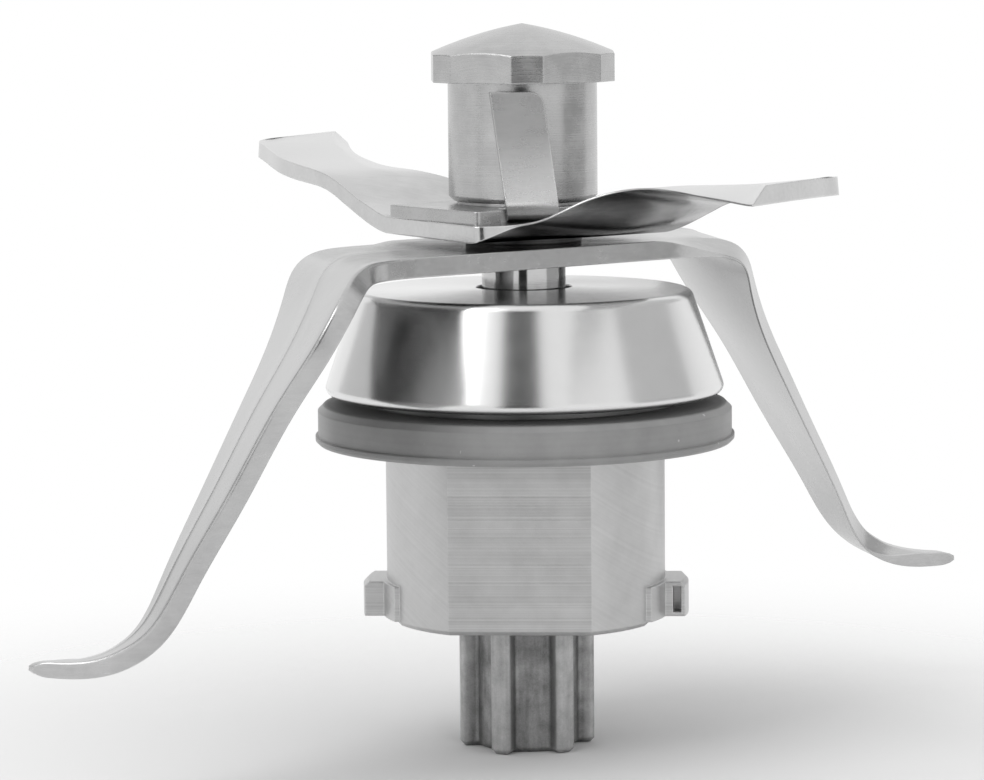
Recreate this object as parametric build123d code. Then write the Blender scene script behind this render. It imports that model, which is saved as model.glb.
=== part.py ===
from build123d import *
import math
import os

os.makedirs("parts", exist_ok=True)

# Blender blade assembly. Millimetres, +Z up, shaft axis on Z, drive end at Z = 0.

# Height stack, from the drive end to the top of the nut
COUPLING_LENGTH = 12.0
HOUSING_GAP = 0.4
HOUSING_LENGTH = 16.95
SEAL_RING_HEIGHT = 3.65
GROOVE_HEIGHT = 0.95
BELL_HEIGHT = 9.8
BLADE_STANDOFF = 2.8
LOWER_SHEET = 1.8
SPACER_THICKNESS = 0.75
UPPER_SHEET = 1.6
PLATE_SHEET = 1.25
NUT_COLLAR_HEIGHT = 0.35
NUT_SKIRT_HEIGHT = 11.2
NUT_HEAD_HEIGHT = 2.5
NUT_CONE_HEIGHT = 2.9

# Bearing housing
HOUSING_DIAMETER = 26.6
FLAT_DEPTH = 1.8
FOOT_DEPTH = 1.45
LUG_REACH = 2.25
LUG_WIDTH = 6.4
LUG_HEIGHT = 3.3
LUG_RAISE = 0.45
LUG_CHAMFER = 0.4
LUG_PAD_WIDTH = 13.0
LUG_PAD_REACH = 0.45
LUG_POCKET_DEPTH = 2.0
LUG_BORDER = 0.35
HOUSING_EDGE_CHAMFER = 0.4
GROOVE_DIAMETER = 29.4
WEB_THICKNESS = 1.0
WEB_HOLE_DIAMETER = 13.0

# Bell cover
BELL_BASE_DIAMETER = 38.4
BELL_TOP_DIAMETER = 31.8
BELL_WALL = 1.05
BELL_HOLE_DIAMETER = 9.2
BELL_CROWN_RISE = 0.25
BELL_TOP_RADIUS = 0.9
BELL_RIM_RADIUS = 0.7
BELL_RIM_LAND = 0.05

# Seal ring
SEAL_RING_DIAMETER = 39.4
SEAL_FLANGE_DIAMETER = 39.9
SEAL_FLANGE_HEIGHT = 0.7
SEAL_EDGE_CHAMFER = 0.3
SEAL_TOP_CHAMFER = 0.55

# Drive shaft
SHAFT_DIAMETER = 8.0
STUD_DIAMETER = 6.0
STUD_FLATS = 5.0
STUD_LENGTH = 15.4
STUD_CHAMFER = 0.5
SPIGOT_DIAMETER = 6.0

# Drive coupling
COUPLING_DIAMETER = 12.9
COUPLING_ROOT_DIAMETER = 9.8
COUPLING_FLOOR = 3.0
LOBE_COUNT = 6
LOBE_WIDTH = 2.0
LOBE_FILLET = 0.45
LOBE_TURN = 9.0
COUPLING_CHAMFER = 0.4

# Ball bearings
BEARING_OUTER_DIAMETER = 19.0
BEARING_WIDTH = 6.0
RING_THICKNESS = 1.45
BALL_COUNT = 7
BALL_DIAMETER = 3.0
RACE_CLEARANCE = 0.08
CAGE_WIDTH = 4.4
CAGE_THICKNESS = 1.1
POCKET_CLEARANCE = 0.08
SHIELD_THICKNESS = 0.3
SHIELD_SEAT_DEPTH = 0.45
SHIELD_GAP = 0.3
SLEEVE_WALL = 1.1

# Retaining rings
BORE_CLIP_THICKNESS = 1.0
BORE_CLIP_DEPTH = 0.45
BORE_CLIP_BAND = 1.5
BORE_CLIP_INSET = 1.2
BORE_CLIP_OPENING = 7.0
CLIP_EAR_DIAMETER = 2.4
CLIP_EAR_HOLE = 1.1
SHAFT_CLIP_THICKNESS = 0.8
SHAFT_CLIP_DEPTH = 0.25
SHAFT_CLIP_BAND = 1.5
SHAFT_CLIP_OPENING = 5.0

# Shaft lip seal
LIP_SEAL_DIAMETER = 16.0
LIP_SEAL_HEIGHT = 5.0
LIP_SEAL_WALL = 1.2
LIP_LAND = 0.4
LIP_CLEARANCE = 0.03

# Cap nut
NUT_FLATS = 17.0
NUT_CORNERS = 17.9
NUT_SKIRT_DIAMETER = 14.1
NUT_COLLAR_DIAMETER = 12.6
NUT_SKIRT_CHAMFER = 0.45
NUT_CONE_BULGE = 0.75
NUT_TURN = 36.0

# Blade spacer
SPACER_DIAMETER = 11.0

# Lock plate
PLATE_LENGTH = 21.4
PLATE_WIDTH = 14.0
PLATE_TURN = 40.0
PLATE_CORNER = 0.5
TAB_TURN = -81.0
TAB_WIDTH = 4.9
TAB_SHIFT = 0.15
TAB_LEAN = 7.5
TAB_CORNER = 1.3
TAB_BEND_RADIUS = 0.6
TAB_HEAD_CLEARANCE = 0.75
TAB_SKIRT_CLEARANCE = 0.08
TAB_FOOT_OFFSET = 0.4
TAB_NOTCH = 0.8

# Upper blade: flat hub, then the arm's two edges on the sheet underside.
# Edge points are (along, aside, up) from the hub underside, aside positive to the trailing side.
UPPER_TURN = 124.0
UPPER_HUB_WIDTH = 21.4
UPPER_HUB_LEAD = 8.7
UPPER_HUB_TRAIL = 7.2
UPPER_BEVEL = 3.2
UPPER_LAND = 0.15
UPPER_GRIND_START = 0.95
UPPER_SIDE = UPPER_HUB_WIDTH / 2
UPPER_LEAD_EDGE = (
    (10.3, -8.0, 0.05),
    (12.2, -4.9, 0.7),
    (14.0, -2.0, 2.35),
    (17.4, 0.9, 3.6),
    (22.0, 1.4, 3.95),
    (30.4, -0.7, 4.4),
    (40.0, -4.0, 5.05),
    (52.7, -9.75, 5.85),
)
UPPER_TRAIL_EDGE = (
    (9.8, UPPER_SIDE, 0.4),
    (14.0, UPPER_SIDE, 1.7),
    (18.4, UPPER_SIDE, 3.15),
    (24.0, 10.3, 3.85),
    (32.0, 9.3, 4.5),
    (40.0, 7.2, 5.4),
    (42.6, 6.15, 5.6),
    (44.0, 4.2, 5.75),
)

# Lower blade: flat strap, then the leg's two edges from the strap underside
LOWER_TURN = 41.0
LOWER_STRAP_WIDTH = 18.1
LOWER_STRAP_LEAD = 9.0
LOWER_STRAP_TRAIL = 17.0
LOWER_BEVEL = 2.6
LOWER_LAND = 0.3
LOWER_GRIND_START = 0.22
LOWER_TIP_SHEET = 1.3
LOWER_LEAD_EDGE = (
    (11.5, -9.15, 0.0),
    (14.6, -9.8, 0.0),
    (18.2, -10.3, -0.7),
    (20.4, -9.2, -3.3),
    (28.3, -4.5, -12.4),
    (35.2, -2.1, -20.6),
    (40.2, -1.2, -27.9),
    (43.1, -1.2, -32.1),
    (47.0, -2.2, -34.1),
    (52.4, -4.7, -34.2),
)
LOWER_TRAIL_EDGE = (
    (20.0, 9.1, 0.0),
    (23.4, 9.9, 0.0),
    (27.5, 12.9, -0.3),
    (30.6, 15.3, -2.0),
    (32.8, 15.0, -5.4),
    (35.2, 12.6, -10.6),
    (38.7, 9.8, -18.6),
    (41.9, 7.0, -25.9),
    (44.5, 4.9, -31.1),
    (47.6, 2.0, -33.7),
    (52.4, -4.0, -34.2),
)
SHEET_STATIONS = 30
ROOT_DEPTH = 0.5
ROOT_INSET = 0.01
ROOT_BEVEL = 0.6
GRIND_SHARE = 0.8
TIP_START = 0.85

# Levels that follow from the stack
HOUSING_BASE = COUPLING_LENGTH + HOUSING_GAP
SEAT_LEVEL = HOUSING_BASE + HOUSING_LENGTH
GROOVE_LEVEL = SEAT_LEVEL + SEAL_RING_HEIGHT
BELL_BASE = GROOVE_LEVEL + GROOVE_HEIGHT
BELL_TOP = BELL_BASE + BELL_HEIGHT
HEAD_TOP = BELL_TOP - BELL_WALL
SEAL_BASE = HEAD_TOP - LIP_SEAL_HEIGHT
SHOULDER_LEVEL = SEAL_BASE - WEB_THICKNESS
UPPER_BEARING_BASE = SHOULDER_LEVEL - BEARING_WIDTH
CLIP_LEVEL = HOUSING_BASE + BORE_CLIP_INSET
LOWER_BEARING_BASE = CLIP_LEVEL + BORE_CLIP_THICKNESS
LOWER_BEARING_TOP = LOWER_BEARING_BASE + BEARING_WIDTH
STRAP_BASE = BELL_TOP + BLADE_STANDOFF
SPACER_BASE = STRAP_BASE + LOWER_SHEET
HUB_BASE = SPACER_BASE + SPACER_THICKNESS
PLATE_BASE = HUB_BASE + UPPER_SHEET
NUT_BASE = PLATE_BASE + PLATE_SHEET
SKIRT_BASE = NUT_BASE + NUT_COLLAR_HEIGHT
NUT_HEAD_BASE = SKIRT_BASE + NUT_SKIRT_HEIGHT
NUT_CONE_BASE = NUT_HEAD_BASE + NUT_HEAD_HEIGHT
NUT_APEX = NUT_CONE_BASE + NUT_CONE_HEIGHT

# Radii shared between pieces
BORE_RADIUS = BEARING_OUTER_DIAMETER / 2
SHAFT_RADIUS = SHAFT_DIAMETER / 2
PITCH_RADIUS = (BORE_RADIUS + SHAFT_RADIUS) / 2
RACE_RADIUS = BALL_DIAMETER / 2 + RACE_CLEARANCE
OUTER_LAND = BORE_RADIUS - RING_THICKNESS
INNER_LAND = SHAFT_RADIUS + RING_THICKNESS


def disc(radius, low, high):
    body = Cylinder(radius, high - low, align=(Align.CENTER, Align.CENTER, Align.MIN))
    return Pos(0, 0, low) * body


def tube(outer, inner, low, high):
    return disc(outer, low, high) - disc(inner, low, high)


def turned(points):
    """Solid of revolution about Z from (radius, height) points."""
    profile = Plane.XZ * make_face(Polyline(*points, close=True))
    return revolve(profile, Axis.Z)


def both_sides(solid):
    """The solid and its half-turn copy about Z."""
    return solid + Rot(0, 0, 180) * solid


def stud_section(low, high):
    """Round stud with two flats, the form that drives the blades."""
    round_part = disc(STUD_DIAMETER / 2, low, high)
    flats = Pos(0, 0, low) * Box(
        STUD_DIAMETER, STUD_FLATS, high - low, align=(Align.CENTER, Align.CENTER, Align.MIN)
    )
    return Rot(0, 0, UPPER_TURN) * (round_part & flats)


def bearing_housing():
    radius = HOUSING_DIAMETER / 2
    body = turned(
        (
            (0, HOUSING_BASE),
            (radius, HOUSING_BASE),
            (radius, GROOVE_LEVEL),
            (GROOVE_DIAMETER / 2, GROOVE_LEVEL),
            (GROOVE_DIAMETER / 2, BELL_BASE),
            (BELL_BASE_DIAMETER / 2 - BELL_WALL, BELL_BASE),
            (BELL_TOP_DIAMETER / 2 - BELL_WALL, HEAD_TOP),
            (0, HEAD_TOP),
        )
    )
    span = 2 * radius
    for side in (1, -1):
        flat_cut = Pos(0, side * (radius - FLAT_DEPTH + span / 2), HOUSING_BASE) * Box(
            span, span, HOUSING_LENGTH, align=(Align.CENTER, Align.CENTER, Align.MIN)
        )
        foot_cut = Pos(side * (radius - FOOT_DEPTH + span / 2), 0, HOUSING_BASE) * Box(
            span, span, LUG_RAISE, align=(Align.CENTER, Align.CENTER, Align.MIN)
        )
        body = body - flat_cut - foot_cut
    rim = body.faces().sort_by(Axis.Z)[0].outer_wire().edges()
    body = chamfer(rim, HOUSING_EDGE_CHAMFER)
    body = body + both_sides(bayonet_lug())
    body = body - disc(BORE_RADIUS, HOUSING_BASE, SHOULDER_LEVEL)
    body = body - disc(WEB_HOLE_DIAMETER / 2, SHOULDER_LEVEL, SEAL_BASE)
    body = body - disc(LIP_SEAL_DIAMETER / 2, SEAL_BASE, HEAD_TOP)
    body = body - disc(BORE_RADIUS + BORE_CLIP_DEPTH, CLIP_LEVEL, LOWER_BEARING_BASE)
    return body


def bayonet_lug():
    """Locking lug on the +X side: a wide low pad on the wall and a narrow tip, hollowed at one end."""
    radius = HOUSING_DIAMETER / 2
    inner = (BORE_RADIUS + BORE_CLIP_DEPTH + radius) / 2
    low = HOUSING_BASE + LUG_RAISE
    high = low + LUG_HEIGHT
    pad = tube(radius + LUG_PAD_REACH, inner, low, high) & Pos(radius, 0, low) * Box(
        HOUSING_DIAMETER, LUG_PAD_WIDTH, LUG_HEIGHT, align=(Align.CENTER, Align.CENTER, Align.MIN)
    )
    tip = disc(radius + LUG_REACH, low, high)
    tip = chamfer(tip.edges().sort_by(Axis.Z)[-1], LUG_CHAMFER) - disc(inner, low, high)
    tip = tip & Pos(radius, 0, low) * Box(
        HOUSING_DIAMETER, LUG_WIDTH, LUG_HEIGHT, align=(Align.CENTER, Align.CENTER, Align.MIN)
    )
    pocket_low = radius + LUG_PAD_REACH + LUG_BORDER
    pocket_high = math.sqrt((radius + LUG_REACH) ** 2 - (LUG_WIDTH / 2) ** 2) - LUG_BORDER
    pocket = Pos((pocket_low + pocket_high) / 2, -LUG_WIDTH / 2, (low + high) / 2) * Box(
        pocket_high - pocket_low, 2 * LUG_POCKET_DEPTH, LUG_HEIGHT - 2 * LUG_CHAMFER
    )
    return pad + (tip - pocket)


def bell_cover():
    base = BELL_BASE_DIAMETER / 2
    top = BELL_TOP_DIAMETER / 2
    hole = BELL_HOLE_DIAMETER / 2
    shell = turned(
        (
            (hole, HEAD_TOP),
            (top - BELL_WALL, HEAD_TOP),
            (base - BELL_WALL, BELL_BASE),
            (base, BELL_BASE),
            (top, BELL_TOP),
            (hole, BELL_TOP + BELL_CROWN_RISE),
        )
    )
    crown = shell.edges().filter_by(GeomType.CIRCLE).filter_by(lambda e: abs(e.radius - top) < 1e-4)
    shell = fillet(crown, BELL_TOP_RADIUS)
    rim = shell.edges().filter_by(GeomType.CIRCLE).filter_by(lambda e: abs(e.radius - base) < 1e-4)
    slope = math.atan2(BELL_HEIGHT, base - top)
    widest = (BELL_WALL - BELL_RIM_LAND) * math.tan(slope / 2)
    return fillet(rim, min(BELL_RIM_RADIUS, widest))


def seal_ring():
    body = SEAL_RING_DIAMETER / 2
    flange = SEAL_FLANGE_DIAMETER / 2
    step = SEAT_LEVEL + SEAL_FLANGE_HEIGHT
    return turned(
        (
            (HOUSING_DIAMETER / 2, SEAT_LEVEL),
            (flange - SEAL_EDGE_CHAMFER, SEAT_LEVEL),
            (flange, SEAT_LEVEL + SEAL_EDGE_CHAMFER),
            (flange, step),
            (body, step),
            (body, GROOVE_LEVEL - SEAL_TOP_CHAMFER),
            (body - SEAL_TOP_CHAMFER, GROOVE_LEVEL),
            (HOUSING_DIAMETER / 2, GROOVE_LEVEL),
        )
    )


def drive_shaft():
    stud_top = STRAP_BASE + STUD_LENGTH
    body = disc(SPIGOT_DIAMETER / 2, COUPLING_FLOOR, COUPLING_LENGTH)
    body = body + disc(SHAFT_RADIUS, COUPLING_LENGTH, STRAP_BASE)
    body = body + stud_section(STRAP_BASE, NUT_BASE)
    thread = disc(STUD_DIAMETER / 2, NUT_BASE, stud_top)
    thread = chamfer(thread.edges().sort_by(Axis.Z)[-1], STUD_CHAMFER)
    body = body + thread
    groove = tube(SHAFT_DIAMETER, SHAFT_RADIUS - SHAFT_CLIP_DEPTH, 0, SHAFT_CLIP_THICKNESS)
    body = body - Pos(0, 0, SHOULDER_LEVEL) * groove
    body = body - Pos(0, 0, LOWER_BEARING_BASE - SHAFT_CLIP_THICKNESS) * groove
    return body


def drive_coupling():
    root = Circle(COUPLING_ROOT_DIAMETER / 2)
    lobe = Pos(COUPLING_DIAMETER / 4, 0) * Rectangle(COUPLING_DIAMETER / 2, LOBE_WIDTH)
    star = root + [Rot(0, 0, i * 360 / LOBE_COUNT) * lobe for i in range(LOBE_COUNT)]
    star = star & Circle(COUPLING_DIAMETER / 2)
    star = fillet(star.vertices(), LOBE_FILLET)
    body = extrude(Rot(0, 0, LOBE_TURN) * star, COUPLING_LENGTH)
    end = body.faces().sort_by(Axis.Z)[0].outer_wire().edges()
    body = chamfer(end, COUPLING_CHAMFER)
    return body - disc(SPIGOT_DIAMETER / 2, COUPLING_FLOOR, COUPLING_LENGTH)


def race(base):
    """Ring-shaped groove that the balls run in."""
    circle = Plane.XZ * (Pos(PITCH_RADIUS, base + BEARING_WIDTH / 2) * Circle(RACE_RADIUS))
    return revolve(circle, Axis.Z)


def shield_level(base, upward):
    return base + BEARING_WIDTH - SHIELD_SEAT_DEPTH if upward else base


def outer_ring(base, upward):
    seat = shield_level(base, upward)
    body = tube(BORE_RADIUS, OUTER_LAND, base, base + BEARING_WIDTH) - race(base)
    return body - disc((BORE_RADIUS + OUTER_LAND) / 2, seat, seat + SHIELD_SEAT_DEPTH)


def inner_ring(base):
    return tube(INNER_LAND, SHAFT_RADIUS, base, base + BEARING_WIDTH) - race(base)


def shield(base, upward):
    seat = shield_level(base, upward)
    low = seat if upward else seat + SHIELD_SEAT_DEPTH - SHIELD_THICKNESS
    return tube((BORE_RADIUS + OUTER_LAND) / 2, INNER_LAND + SHIELD_GAP, low, low + SHIELD_THICKNESS)


def ball_angles():
    return [i * 360 / BALL_COUNT for i in range(BALL_COUNT)]


def cage(base):
    middle = base + BEARING_WIDTH / 2
    outer = PITCH_RADIUS + CAGE_THICKNESS / 2
    inner = PITCH_RADIUS - CAGE_THICKNESS / 2
    body = tube(outer, inner, middle - CAGE_WIDTH / 2, middle + CAGE_WIDTH / 2)
    pocket = Pos(PITCH_RADIUS, 0, middle) * Rot(0, 90, 0) * Cylinder(
        BALL_DIAMETER / 2 + POCKET_CLEARANCE, 2 * CAGE_THICKNESS
    )
    return body - [Rot(0, 0, angle) * pocket for angle in ball_angles()]


def balls(base):
    ball = Pos(PITCH_RADIUS, 0, base + BEARING_WIDTH / 2) * Sphere(BALL_DIAMETER / 2)
    return Compound(children=[Rot(0, 0, angle) * ball for angle in ball_angles()])


def outer_sleeve():
    return tube(BORE_RADIUS, BORE_RADIUS - SLEEVE_WALL, LOWER_BEARING_TOP, UPPER_BEARING_BASE)


def inner_sleeve():
    return tube(SHAFT_RADIUS + SLEEVE_WALL, SHAFT_RADIUS, LOWER_BEARING_TOP, UPPER_BEARING_BASE)


def clip_opening(radius, width, thickness):
    return Pos(-radius, 0, 0) * Box(
        2 * radius, width, thickness, align=(Align.CENTER, Align.CENTER, Align.MIN)
    )


def bore_clip():
    outer = BORE_RADIUS + BORE_CLIP_DEPTH
    inner = outer - BORE_CLIP_BAND
    body = tube(outer, inner, 0, BORE_CLIP_THICKNESS)
    body = body - clip_opening(outer, BORE_CLIP_OPENING, BORE_CLIP_THICKNESS)
    offset = (BORE_CLIP_OPENING + CLIP_EAR_DIAMETER) / 2
    reach = math.sqrt((inner + CLIP_EAR_HOLE / 2 - BORE_CLIP_DEPTH) ** 2 - offset**2)
    for side in (1, -1):
        centre = Pos(-reach, side * offset, 0)
        body = body + centre * disc(CLIP_EAR_DIAMETER / 2, 0, BORE_CLIP_THICKNESS)
        body = body - centre * disc(CLIP_EAR_HOLE / 2, 0, BORE_CLIP_THICKNESS)
    return Pos(0, 0, CLIP_LEVEL) * body


def shaft_clip(level):
    inner = SHAFT_RADIUS - SHAFT_CLIP_DEPTH
    outer = inner + SHAFT_CLIP_BAND
    body = tube(outer, inner, 0, SHAFT_CLIP_THICKNESS)
    body = body - clip_opening(outer, SHAFT_CLIP_OPENING, SHAFT_CLIP_THICKNESS)
    return Pos(0, 0, level) * body


def lip_seal():
    outer = LIP_SEAL_DIAMETER / 2
    lip = SHAFT_RADIUS + LIP_CLEARANCE
    roof = HEAD_TOP - LIP_SEAL_WALL
    return turned(
        (
            (outer - LIP_SEAL_WALL, SEAL_BASE),
            (outer, SEAL_BASE),
            (outer, HEAD_TOP),
            (lip + LIP_SEAL_WALL / 2, HEAD_TOP),
            (lip, roof + LIP_LAND / 2),
            (lip, roof - LIP_LAND / 2),
            (lip + LIP_SEAL_WALL, roof - LIP_SEAL_WALL),
            (lip + LIP_SEAL_WALL + LIP_LAND, roof),
            (outer - LIP_SEAL_WALL, roof),
        )
    )


def cap_nut():
    rim = NUT_FLATS / math.sqrt(3)
    drop = NUT_CONE_HEIGHT * rim / (NUT_CORNERS / 2)
    cone = Bezier((rim, NUT_APEX - drop), (rim / 2, NUT_APEX - drop / 2 + NUT_CONE_BULGE), (0, NUT_APEX))
    sides = Polyline((0, NUT_APEX), (0, NUT_HEAD_BASE), (rim, NUT_HEAD_BASE), (rim, NUT_APEX - drop))
    dome = revolve(Plane.XZ * make_face(cone + sides), Axis.Z)
    hexagon = RegularPolygon(NUT_FLATS / 2, 6, major_radius=False)
    corners = Rot(0, 0, 30) * RegularPolygon(NUT_CORNERS / 2, 6, major_radius=False)
    head = Pos(0, 0, NUT_HEAD_BASE) * extrude(hexagon & corners, NUT_APEX - NUT_HEAD_BASE)
    head = Rot(0, 0, NUT_TURN) * (head & dome)
    skirt = disc(NUT_SKIRT_DIAMETER / 2, SKIRT_BASE, NUT_HEAD_BASE)
    skirt = chamfer(skirt.edges().sort_by(Axis.Z)[0], NUT_SKIRT_CHAMFER)
    body = head + skirt + disc(NUT_COLLAR_DIAMETER / 2, NUT_BASE, SKIRT_BASE)
    return body - disc(STUD_DIAMETER / 2, NUT_BASE, STRAP_BASE + STUD_LENGTH)


def blade_spacer():
    return disc(SPACER_DIAMETER / 2, SPACER_BASE, HUB_BASE) - stud_section(SPACER_BASE, HUB_BASE)


def lock_tab():
    """Upturned tab on the +X side: bent strip, trimmed to its leaning outline."""
    foot = NUT_SKIRT_DIAMETER / 2 + TAB_SKIRT_CLEARANCE + TAB_FOOT_OFFSET
    crown = NUT_SKIRT_DIAMETER / 2 + TAB_SKIRT_CLEARANCE
    high = NUT_HEAD_BASE - TAB_HEAD_CLEARANCE
    root = NUT_SKIRT_DIAMETER / 2 - PLATE_SHEET
    path = FilletPolyline(
        (root, PLATE_BASE + PLATE_SHEET / 2),
        (foot + PLATE_SHEET / 2, PLATE_BASE + PLATE_SHEET / 2),
        (crown + PLATE_SHEET / 2, high),
        radius=TAB_BEND_RADIUS + PLATE_SHEET / 2,
    )
    band = Plane.XZ * trace(path, PLATE_SHEET)
    strip = extrude(band, TAB_WIDTH, both=True)
    lean = (high - PLATE_BASE) * math.tan(math.radians(TAB_LEAN))
    near = TAB_SHIFT - TAB_WIDTH / 2
    far = TAB_SHIFT + TAB_WIDTH / 2
    outline = make_face(
        Polyline((near, PLATE_BASE), (far, PLATE_BASE), (far - lean, high), (near - lean, high), close=True)
    )
    corner = outline.vertices().sort_by(Axis.Y)[-2:].sort_by(Axis.X)[-1]
    outline = fillet(corner, TAB_CORNER)
    trim = extrude(Plane.YZ * outline, 4 * NUT_SKIRT_DIAMETER)
    return strip & trim


def lock_plate():
    strip = Rot(0, 0, PLATE_TURN) * Rectangle(PLATE_LENGTH, PLATE_WIDTH)
    strip = fillet(strip.vertices(), PLATE_CORNER)
    body = extrude(Pos(0, 0, PLATE_BASE) * strip, PLATE_SHEET)
    crown = NUT_SKIRT_DIAMETER / 2
    notch = Pos(crown, TAB_SHIFT - TAB_WIDTH / 2 - TAB_NOTCH / 2, PLATE_BASE) * Box(
        PLATE_WIDTH, TAB_NOTCH, PLATE_SHEET, align=(Align.MIN, Align.CENTER, Align.MIN)
    )
    front = Pos(crown, TAB_SHIFT - TAB_WIDTH / 2, PLATE_BASE) * Box(
        PLATE_WIDTH, PLATE_LENGTH, PLATE_SHEET, align=(Align.MIN, Align.MIN, Align.MIN)
    )
    body = body - both_sides(Rot(0, 0, TAB_TURN) * (notch + front))
    body = body + both_sides(Rot(0, 0, TAB_TURN) * lock_tab())
    return body - stud_section(PLATE_BASE, NUT_BASE)


def sheet_arm(lead_points, trail_points, sheet, tip_sheet, bevel, land, grind_start):
    """Bent sheet lofted along its two edges, with the leading edge ground to a bevel."""
    lead_line = Spline(*lead_points)
    trail_line = Spline(*trail_points)
    sections = []
    for i in range(SHEET_STATIONS + 1):
        at = i / SHEET_STATIONS
        lead = lead_line @ at
        trail = trail_line @ at
        across = (trail - lead).normalized()
        path = (lead_line % at) + (trail_line % at)
        normal = path.cross(across).normalized() if i else Vector(0, 0, 1)
        skew = across.cross(lead_line % at).length
        wide = (trail - lead).length
        thinned = max(0, (at - TIP_START) / (1 - TIP_START))
        thick = sheet + (tip_sheet - sheet) * thinned if i else sheet - 2 * ROOT_INSET
        grown = min(1, at / grind_start)
        grown = grown * grown * (3 - 2 * grown)
        blunt = land * grown + (thick - ROOT_BEVEL) * (1 - grown)
        grind = bevel / skew * grown + ROOT_BEVEL * (1 - grown)
        ground = min(grind, GRIND_SHARE * wide)
        outline = (
            lead,
            trail,
            trail + normal * min(thick, blunt + (thick - blunt) * wide / grind),
            lead + across * ground + normal * (blunt + (thick - blunt) * ground / grind),
            lead + normal * blunt,
        )
        sections.append(make_face(Polyline(*outline, close=True)))
    return loft(sections)


def blade(hub_lead, hub_trail, hub_width, lead_edge, trail_edge, sheet, tip_sheet, bevel, land, grind_start):
    """Two-armed sheet blade about Z with its flat middle on the XY plane, arms rooted inside it."""
    side = hub_width / 2
    corners = ((hub_lead, -side), (hub_trail, side), (-hub_lead, side), (-hub_trail, -side))
    middle = extrude(make_face(Polyline(*corners, close=True)), sheet)
    lead_root = [(hub_lead - depth, ROOT_INSET - side, ROOT_INSET) for depth in (ROOT_DEPTH, 0)]
    trail_root = [(hub_trail - depth, side - ROOT_INSET, ROOT_INSET) for depth in (ROOT_DEPTH, 0)]
    lead_points = lead_root + list(lead_edge)
    trail_points = trail_root + list(trail_edge)
    arm = sheet_arm(lead_points, trail_points, sheet, tip_sheet, bevel, land, grind_start)
    return middle + arm + Rot(0, 0, 180) * arm


def upper_blade():
    body = blade(
        UPPER_HUB_LEAD,
        UPPER_HUB_TRAIL,
        UPPER_HUB_WIDTH,
        UPPER_LEAD_EDGE,
        UPPER_TRAIL_EDGE,
        UPPER_SHEET,
        UPPER_SHEET,
        UPPER_BEVEL,
        UPPER_LAND,
        UPPER_GRIND_START,
    )
    body = Pos(0, 0, HUB_BASE) * Rot(0, 0, UPPER_TURN) * body
    return body - stud_section(HUB_BASE, PLATE_BASE)


def lower_blade():
    body = blade(
        LOWER_STRAP_LEAD,
        LOWER_STRAP_TRAIL,
        LOWER_STRAP_WIDTH,
        LOWER_LEAD_EDGE,
        LOWER_TRAIL_EDGE,
        LOWER_SHEET,
        LOWER_TIP_SHEET,
        LOWER_BEVEL,
        LOWER_LAND,
        LOWER_GRIND_START,
    )
    body = Pos(0, 0, STRAP_BASE) * Rot(0, 0, LOWER_TURN) * body
    return body - stud_section(STRAP_BASE, SPACER_BASE)


PIECES = {
    "bearing_housing": bearing_housing(),
    "bell_cover": bell_cover(),
    "seal_ring": seal_ring(),
    "shaft_lip_seal": lip_seal(),
    "upper_bearing_outer_ring": outer_ring(UPPER_BEARING_BASE, True),
    "upper_bearing_shield": shield(UPPER_BEARING_BASE, True),
    "lower_bearing_outer_ring": outer_ring(LOWER_BEARING_BASE, False),
    "lower_bearing_shield": shield(LOWER_BEARING_BASE, False),
    "outer_spacer_sleeve": outer_sleeve(),
    "bore_retaining_ring": bore_clip(),
    "drive_shaft": drive_shaft(),
    "upper_bearing_inner_ring": inner_ring(UPPER_BEARING_BASE),
    "lower_bearing_inner_ring": inner_ring(LOWER_BEARING_BASE),
    "inner_spacer_sleeve": inner_sleeve(),
    "upper_shaft_ring": shaft_clip(SHOULDER_LEVEL),
    "lower_shaft_ring": shaft_clip(LOWER_BEARING_BASE - SHAFT_CLIP_THICKNESS),
    "drive_coupling": drive_coupling(),
    "lower_blade": lower_blade(),
    "blade_spacer": blade_spacer(),
    "upper_blade": upper_blade(),
    "lock_plate": lock_plate(),
    "cap_nut": cap_nut(),
    "upper_bearing_cage": cage(UPPER_BEARING_BASE),
    "upper_bearing_balls": balls(UPPER_BEARING_BASE),
    "lower_bearing_cage": cage(LOWER_BEARING_BASE),
    "lower_bearing_balls": balls(LOWER_BEARING_BASE),
}

for name, piece in PIECES.items():
    export_step(piece, f"parts/{name}.step")
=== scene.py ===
import math
from collections import namedtuple

import bmesh
import bpy
import numpy as np
from mathutils import Matrix, Vector


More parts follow.
